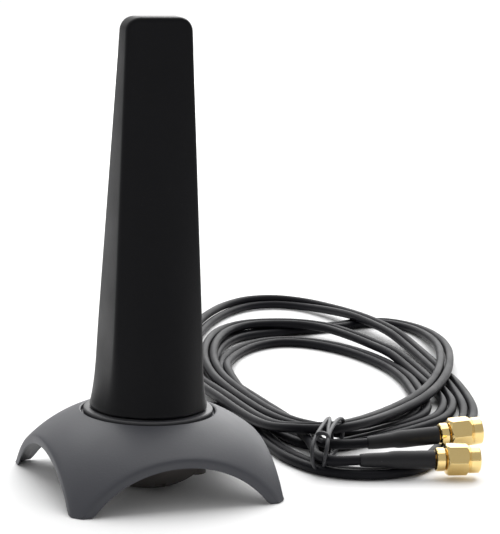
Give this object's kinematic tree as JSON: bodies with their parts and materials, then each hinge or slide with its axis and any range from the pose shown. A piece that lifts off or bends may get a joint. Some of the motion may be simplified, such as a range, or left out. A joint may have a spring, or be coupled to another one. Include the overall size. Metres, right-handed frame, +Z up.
{
  "type": "desktop wi-fi antenna",
  "caption": "Tapered black tower antenna that swivels on a domed four-legged magnetic base, with twin coiled coax leads ending in gold screw-on plugs.",
  "frame": {"origin": "on the surface the base stands on, under the tower's swivel axis, with the coiled leads left out of the measure", "axes": "+Z up along the tower; the tower's broad front face looks along -Y at rest, the four legs point along the diagonals, and the leads leave the base along +Y"},
  "size_m": [0.1865, 0.2559, 0.1246],
  "materials": {
    "tower_shell": "near-black satin, fine moulded grain",
    "base_shell": "satin dark grey",
    "base_bowl": "warm dark grey",
    "swivel_foot": "satin black",
    "lead_jacket": "smooth black coax jacket",
    "heat_shrink": "satin black shrink sleeve",
    "strain_relief": "matt black rubber",
    "tie": "black plastic-coated wire",
    "gold_plate": "gold plated, polished",
    "steel": "plain zinc-plated steel",
    "magnet": "nickel plated",
    "board": "green solder mask",
    "foil": "bare copper foil",
    "carrier": "plain white",
    "ptfe": "white",
    "seal": "red silicone"
  },
  "bodies": {
    "base": {"base_shell": "base_shell", "base_bowl": "base_bowl", "lead_a_run_out": "lead_jacket", "lead_b_run_out": "lead_jacket", "lead_coil": "lead_jacket", "lead_a_run_in": "lead_jacket", "lead_b_run_in": "lead_jacket", "heat_shrink_a": "heat_shrink", "heat_shrink_b": "heat_shrink", "strain_relief_a": "strain_relief", "strain_relief_b": "strain_relief", "twist_tie": "tie", "plug_body_a": "gold_plate", "plug_body_b": "gold_plate", "center_socket_a": "gold_plate", "center_socket_b": "gold_plate", "crimp_ferrule_a": "gold_plate", "crimp_ferrule_b": "gold_plate", "bowl_screw_1": "steel", "bowl_screw_2": "steel", "bowl_screw_3": "steel", "bowl_screw_4": "steel", "keeper_plate": "steel", "snap_ring_a": "steel", "snap_ring_b": "steel", "magnet": "magnet", "plug_dielectric_a": "ptfe", "plug_dielectric_b": "ptfe", "plug_gasket_a": "seal", "plug_gasket_b": "seal"},
    "tower": {"radome": "tower_shell", "swivel_foot": "swivel_foot", "foot_screw_left": "steel", "foot_screw_right": "steel", "friction_washer": "steel", "swivel_nut": "steel", "board_carrier": "carrier", "antenna_board_a": "board", "antenna_board_b": "board", "dipole_a_lower": "foil", "dipole_a_upper": "foil", "dipole_b_lower": "foil", "dipole_b_upper": "foil", "inner_lead_a": "lead_jacket", "inner_lead_b": "lead_jacket"},
    "nut_a": {"coupling_nut_a": "gold_plate"},
    "nut_b": {"coupling_nut_b": "gold_plate"}
  },
  "joints": [
    {"name": "tower_swivel", "type": "hinge", "parent": "base", "child": "tower", "pos_m": [0, 0, 0.0188], "axis": [0, 0, 1], "range_deg": [-170, 170]},
    {"name": "nut_a_spin", "type": "hinge", "parent": "base", "child": "nut_a", "pos_m": [0.0665, 0.0041, 0.0049], "axis": [0.9834, -0.1593, 0.0872], "continuous": true},
    {"name": "nut_b_spin", "type": "hinge", "parent": "base", "child": "nut_b", "pos_m": [0.0566, -0.0133, 0.0053], "axis": [0.9755, -0.2198, 0], "continuous": true}
  ]
}
